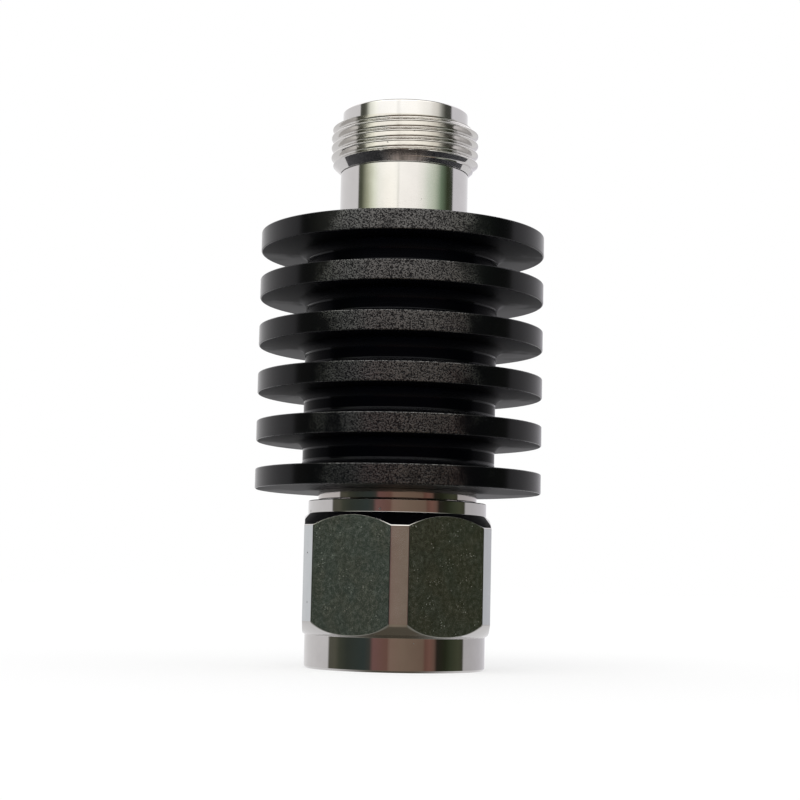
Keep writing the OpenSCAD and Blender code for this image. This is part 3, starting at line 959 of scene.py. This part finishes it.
def turned_with_rules(name, rows, angles, values, materials, flat_rows=None):
    """Spin a section with a thread or flats; values are the tree's inputs, lengths in mm."""
    flat_rows = flat_rows or rows
    marks = [mark if isinstance(mark, tuple) else (0.0, 0.0, 0.0) for radius, height, mark in rows]
    blank = [0.0] * len(angles)
    columns = {
        "wind": [1.0 if mark == "wind" else 0.0 for radius, height, mark in rows],
        "reach": [reach for reach, climb, bend in marks],
        "climb": [climb for reach, climb, bend in marks],
        "bend": [bend / MM for reach, climb, bend in marks],
        "flat radius": [row[0] * MM for row in flat_rows],
        "flat height": [row[1] * MM for row in flat_rows],
    }
    attributes = [(label, numbers + blank) for label, numbers in columns.items()]
    attributes.append(("angle", [0.0] * len(rows) + list(angles)))
    points = [(radius, 0, height) for radius, height, mark in rows] + [(0, 0, 0)] * len(angles)
    values = {
        "Rows": len(rows), "Columns": len(angles), "Pitch": THREAD_PITCH,
        "Material": materials[0], **values,
    }
    values = {label: value * MM if label in LENGTHS else value for label, value in values.items()}
    mesh = grown(name, points, TURNING, values, attributes)
    return finished(name, mesh, materials)

# %% [markdown]
# ## The jack
#
# From below: the spigot in the heat sink, the plain neck with a fine line cut under the short
# cone, the coupling thread, and the pilot with the mouth. The thread is the plain V form of its
# standard, with 60 degrees between its flanks. Seen from below, its broad bright bands are the
# lower flanks, which mirror the panel above the camera by way of the flank underneath.

# %% Jack shell
NECK_RADIUS = 6.86
CONE_LOW = 52.86
CONE_HIGH = 53.8
CREST_RADIUS = 7.92
JACK_THREAD = {
    "Phase": 0.53, "Depth": 0.62, "Groove share": 0.20, "Crest from": 0.875,
    "Crest edge": 0.11, "Root edge": 0.20,
}
THREAD_TOP = 57.7
THREAD_START = 0.2
NECK_LINE_LOW = CONE_LOW - 0.14
NECK_LINE_HIGH = CONE_LOW - 0.02
NECK_LINE_RADIUS = NECK_RADIUS - 0.12
NECK_LINE_EDGE = 0.02
PILOT_RADIUS = 6.74
JACK_TOP = 59.5
JACK_BORE = 4.05
JACK_SHOULDER = 50.35
LINE_RADIUS = 3.5
BEAD_TOP = 49.0
BEAD_SEAT = 4.92
SPIGOT_RADIUS = 6.0

JACK_GROOVE = CREST_RADIUS - JACK_THREAD["Depth"]
CONE_SLOPE = (CREST_RADIUS - NECK_RADIUS) / (CONE_HIGH - CONE_LOW)
THREAD_FOOT = CONE_LOW + (JACK_GROOVE - NECK_RADIUS) / CONE_SLOPE
NO_FLATS = {"Apothem": 9.0, "Corner radius": 9.0}
ROUND_STEPS = 240
ROUND = [2 * math.pi * step / ROUND_STEPS for step in range(ROUND_STEPS + 1)]


def shell_metal_at(across, level, normal):
    if CONE_LOW < level < CONE_HIGH + 0.05 and across > NECK_RADIUS and normal.z < -0.4:
        return CONE_METAL
    # The fine cut line under the cone is painted dark, as shade.
    in_line = NECK_LINE_RADIUS - 0.08 < across < NECK_RADIUS - 0.01
    if in_line and NECK_LINE_LOW - NECK_LINE_EDGE < level < CONE_LOW:
        return DARK_LINE
    if THREAD_FOOT < level < THREAD_TOP + 0.01 and across > NECK_RADIUS + 0.2:
        return THREAD_METAL
    return SHELL_METAL


def jack_shell():
    outside = rounded([
        (SPIGOT_RADIUS, JACK_SPIGOT_FOOT, 0), (SPIGOT_RADIUS, SINK_TOP - 0.1, 0),
        (NECK_RADIUS, SINK_TOP, EDGE), (NECK_RADIUS, NECK_LINE_LOW, NECK_LINE_EDGE),
        (NECK_LINE_RADIUS, NECK_LINE_LOW, NECK_LINE_EDGE),
        (NECK_LINE_RADIUS, NECK_LINE_HIGH, NECK_LINE_EDGE), (NECK_RADIUS, NECK_LINE_HIGH, 0),
        (NECK_RADIUS, CONE_LOW, 0), (JACK_GROOVE, THREAD_FOOT, 0),
    ], closed=False)
    heights = thread_rows(THREAD_FOOT, THREAD_TOP, JACK_THREAD)
    winding = [(JACK_GROOVE, height, "wind") for height in heights]
    inside = rounded([
        (JACK_GROOVE, THREAD_TOP, 0), (PILOT_RADIUS, THREAD_TOP, 0.04),
        (PILOT_RADIUS, JACK_TOP, 0.2), (JACK_BORE, JACK_TOP, 0.2), (JACK_BORE, JACK_SHOULDER, 0.03),
        (LINE_RADIUS, JACK_SHOULDER, 0.05), (LINE_RADIUS, BEAD_TOP, 0), (BEAD_SEAT, BEAD_TOP, 0),
        (BEAD_SEAT, JACK_SPIGOT_FOOT, 0),
    ], closed=False)
    piece = turned_with_rules("jack_shell", outside + winding + inside, ROUND, {
        **JACK_THREAD, **NO_FLATS, "Groove radius": JACK_GROOVE, "Outward": 1.0,
        "Low end": THREAD_FOOT, "Low slope": CONE_SLOPE, "High end": THREAD_TOP, "High slope": 1.0,
        "High lift": CREST_RADIUS - THREAD_START - JACK_GROOVE,
    }, [SHELL_METAL, THREAD_METAL, CONE_METAL, DARK_LINE])
    paint(piece, shell_metal_at)
    take_over(piece, "female_shell", "attenuator")


jack_shell()

# %% [markdown]
# ## The coupling nut
#
# A hexagon with its corners turned round, between a wide band at the mouth and a narrow boss at the
# back. The columns stand close together beside the six edges of each flat, so each edge gets a
# radius of a few hundredths. Inside there are the counterbore, the true thread, the relief, the
# bore that runs on the barrel, and the groove of the split ring.

# %% Coupling nut
NUT_TURN = 1.7
APOTHEM = 9.71
CORNER_RADIUS = 10.72
MOUTH_BAND = 9.51
LOW_CORNER = 4.72
LOW_STEEP = 1.5
LOW_BEND = 0.375
BOSS_RADIUS = 9.43
NUT_LENGTH = 17.46
BOSS_FOOT = 16.10
MOUTH_BREAK = 0.2
MOUTH_BORE = 8.1
MOUTH_BORE_DEPTH = 1.9
NUT_CREST = 7.37
NUT_GROOVE = 7.98
NUT_THREAD_END = 10.3
RELIEF_RADIUS = 8.02
RELIEF_END = 13.25
NUT_BORE = 7.03
RING_GROOVE = 7.65
RING_GROOVE_LOW = 14.46
RING_GROOVE_HIGH = 15.46
SOFT_EDGE = 0.06
NUT_THREAD = {
    "Phase": 0.0, "Depth": NUT_GROOVE - NUT_CREST, "Groove share": 0.12, "Crest from": 0.78,
    "Crest edge": 0.06, "Root edge": 0.06,
}


def nut_angles():
    """Columns for one turn: dense beside the edges of the flats, even elsewhere."""
    edge = math.degrees(math.acos(APOTHEM / CORNER_RADIUS))
    near = [-0.72, -0.45, -0.2, 0.0, 0.2, 0.45, 0.72]
    flat = list(np.linspace(-edge + 1.2, edge - 1.2, 23))
    corner = list(np.linspace(edge + 1.2, 60 - edge - 1.2, 7))
    sector = flat + [edge + step for step in near] + corner + [60 - edge + step for step in near]
    angles = [NUT_TURN + 60 * turn + step for turn in range(6) for step in sorted(sector)]
    return [math.radians(angle) for angle in angles + [angles[0] + 360]]


def lower_cone(share):
    """A row on the lower cone, from the band (share 0) to the corner (share 1), and its mark."""
    inward = (MOUTH_BAND - CORNER_RADIUS) * (1 - share)
    height = LOW_CORNER + LOW_STEEP * inward + LOW_BEND * inward ** 2
    mark = (share, share * (LOW_STEEP + 2 * LOW_BEND * inward), LOW_BEND * share ** 2)
    return CORNER_RADIUS + inward, height, mark


def nut_outside(low_edge, high_edge):
    cone = [lower_cone(share) for share in (0.0, 0.25, 0.5, 0.75, 1.0)]
    high_hex = BOSS_FOOT - (CORNER_RADIUS - BOSS_RADIUS)
    return rounded([
        (MOUTH_BORE, 0, 0.12), (MOUTH_BAND - MOUTH_BREAK, 0, 0.06), (MOUTH_BAND, MOUTH_BREAK, 0.06),
        (MOUTH_BAND, cone[0][1], 0.06),
        *((radius, height, 0, mark) for radius, height, mark in cone[1:-1]),
        (*cone[-1][:2], low_edge, cone[-1][2]),
        (CORNER_RADIUS, high_hex, high_edge, (1.0, -1.0, 0.0)), (BOSS_RADIUS, BOSS_FOOT, 0.18),
        (BOSS_RADIUS, NUT_LENGTH, 0.10), (NUT_BORE, NUT_LENGTH, 0.08),
        (NUT_BORE, RING_GROOVE_HIGH, 0), (RING_GROOVE, RING_GROOVE_HIGH, 0),
        (RING_GROOVE, RING_GROOVE_LOW, 0), (NUT_BORE, RING_GROOVE_LOW, 0),
        (NUT_BORE, RELIEF_END, 0), (RELIEF_RADIUS, RELIEF_END, 0),
        (RELIEF_RADIUS, NUT_THREAD_END, 0), (NUT_GROOVE, NUT_THREAD_END, 0),
    ], steps=6, closed=False)


def nut_metal_at(across, level, normal):
    if abs(normal.z) < 0.02 and 3.5 < level < BOSS_FOOT:
        facing = math.degrees(math.atan2(normal.y, normal.x)) - NUT_TURN
        if abs((facing + 30) % 60 - 30) < 0.5 and across > APOTHEM - 0.1:
            return NUT_MILLED
        if across > CORNER_RADIUS - 0.012:
            return NUT_CORNER
        # The narrow rounded edges between flats and corners are painted dark, as shade.
        if across > APOTHEM:
            return DARK_LINE
    return NUT_TURNED


def coupling_nut():
    low = MOUTH_BORE_DEPTH + (MOUTH_BORE - NUT_GROOVE)
    heights = thread_rows(low, NUT_THREAD_END, NUT_THREAD)[::-1]
    inside = [(NUT_GROOVE, height, "wind") for height in heights]
    inside += [(NUT_GROOVE, low, ""), (MOUTH_BORE, MOUTH_BORE_DEPTH, "")]
    piece = turned_with_rules("nut_with_flats", nut_outside(0.6, 0.3) + inside, nut_angles(), {
        **NUT_THREAD, "Groove radius": NUT_GROOVE, "Outward": -1.0, "Low end": low,
        "Low slope": 1.0, "High end": NUT_THREAD_END, "High slope": 0.0, "High lift": 1.0,
        "Turn": math.radians(NUT_TURN), "Apothem": APOTHEM, "Corner radius": CORNER_RADIUS,
        "Edge": SOFT_EDGE,
    }, [NUT_TURNED, NUT_MILLED, NUT_CORNER, DARK_LINE], nut_outside(0.15, 0.05) + inside)
    paint(piece, nut_metal_at)
    take_over(piece, "coupling_nut", "coupling_nut")


coupling_nut()

# %% [markdown]
# ## The plug body
#
# The plug body shows only its flange, the ring between the nut and the lowest fin. The thin dark
# line between the flange and the nut is the gap that lets the nut turn. It is spun by the same
# tree, with no thread and no flats.

# %% Plug body
FLANGE_LOW = 17.58
FLANGE_RADIUS = 8.4
BARREL = 6.95
GASKET_SEAT = 12.35
COLLAR_LOW = 11.55
COLLAR_RADIUS = 4.9
SLEEVE_SOCKET = 4.32
SLEEVE_SOCKET_END = 13.0
PLUG_SHOULDER = 14.0
BODY_GROOVE = 6.3
BODY_GROOVE_LOW = 14.58
BODY_GROOVE_HIGH = 15.34

plug_body = turned_with_rules("plug_body", rounded([
    (SLEEVE_SOCKET, COLLAR_LOW, 0.03), (COLLAR_RADIUS, COLLAR_LOW, 0.1),
    (COLLAR_RADIUS, GASKET_SEAT, 0.03), (BARREL, GASKET_SEAT, 0.15),
    (BARREL, BODY_GROOVE_LOW, 0), (BODY_GROOVE, BODY_GROOVE_LOW, 0),
    (BODY_GROOVE, BODY_GROOVE_HIGH, 0), (BARREL, BODY_GROOVE_HIGH, 0), (BARREL, FLANGE_LOW, 0.05),
    (FLANGE_RADIUS, FLANGE_LOW, 0.08), (FLANGE_RADIUS, SINK_BOTTOM, 0.06),
    (SPIGOT_RADIUS, SINK_BOTTOM, 0), (SPIGOT_RADIUS, PLUG_SPIGOT_TOP, 0),
    (BEAD_SEAT, PLUG_SPIGOT_TOP, 0), (BEAD_SEAT, PLUG_SHOULDER, 0), (LINE_RADIUS, PLUG_SHOULDER, 0),
    (LINE_RADIUS, SLEEVE_SOCKET_END, 0), (SLEEVE_SOCKET, SLEEVE_SOCKET_END, 0),
]), ROUND, NO_FLATS, [FLANGE_METAL])
take_over(plug_body, "male_body", "attenuator")

# %% [markdown]
# ## The CAD nodes that stay
#
# The other CAD nodes keep their own solids and get their finishes here.

# %% Finishes of the nodes that stay
STAYING = {
    "female_socket": GOLD, "male_pin": GOLD, "male_outer_contact": BRIGHT,
    "female_bead": WHITE, "male_bead": WHITE, "female_bead_bush": BRASS, "male_bead_bush": BRASS,
    "nut_retaining_ring": SPRING, "nut_gasket": RED, "resistor_card": CERAMIC,
    "carrier_front": BARE, "carrier_back": BARE, "ground_clip_left": SPRING,
    "ground_clip_right": SPRING, "input_tab": GOLD, "output_tab": GOLD,
}
for node_name, material in STAYING.items():
    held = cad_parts[node_name]
    held.data.materials.clear()
    held.data.materials.append(material)
